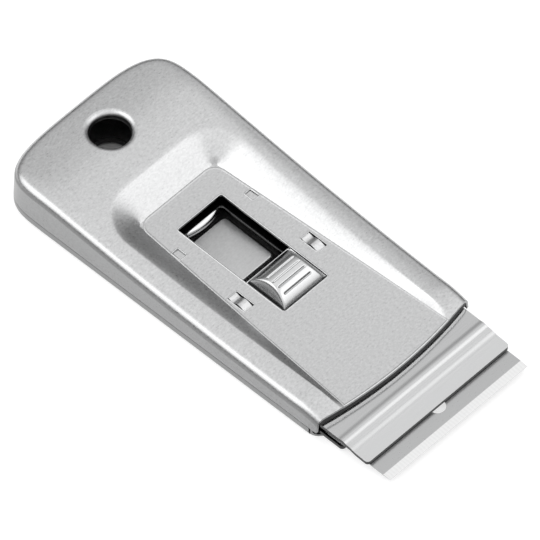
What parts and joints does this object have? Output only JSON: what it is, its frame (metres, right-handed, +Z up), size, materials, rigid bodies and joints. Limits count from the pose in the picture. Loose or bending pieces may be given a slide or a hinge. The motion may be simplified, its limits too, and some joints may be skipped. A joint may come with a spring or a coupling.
{
  "type": "ceramic hob scraper",
  "caption": "Flat sheet-steel hob scraper with a sliding blade carriage, sprung thumb slide in a recessed window, hanging hole and exposed razor blade.",
  "frame": {"origin": "middle of the bounding box in plan, on the flat underside of the back cover", "axes": "+X from the hanging hole to the cutting edge, +Y to the left seen from above with the blade ahead, +Z up from the flat underside"},
  "size_m": [0.1036, 0.0438, 0.0103],
  "materials": {
    "top_steel": "satin",
    "back_steel": "satin",
    "carriage_steel": "satin",
    "blade_steel": "ground",
    "thumb_metal": "polished",
    "spring_steel": "satin",
    "rivet_steel": "satin"
  },
  "bodies": {
    "housing": {"top_cover": "top_steel", "back_cover": "back_steel"},
    "carriage": {"blade_holder": "carriage_steel", "blade_clamp": "carriage_steel", "razor_blade": "blade_steel", "carriage_rivets": "rivet_steel", "lock_spring": "spring_steel"},
    "thumb": {"thumb_slide": "thumb_metal"}
  },
  "joints": [
    {"name": "carriage_slide", "type": "slide", "parent": "housing", "child": "carriage", "axis": [1, 0, 0], "range_m": [-0.018, 0]},
    {"name": "thumb_press", "type": "slide", "parent": "carriage", "child": "thumb", "axis": [0, 0, -1], "range_m": [0, 0.0006], "stiffness_N_per_m": 3000, "deforming": ["lock_spring"]}
  ]
}
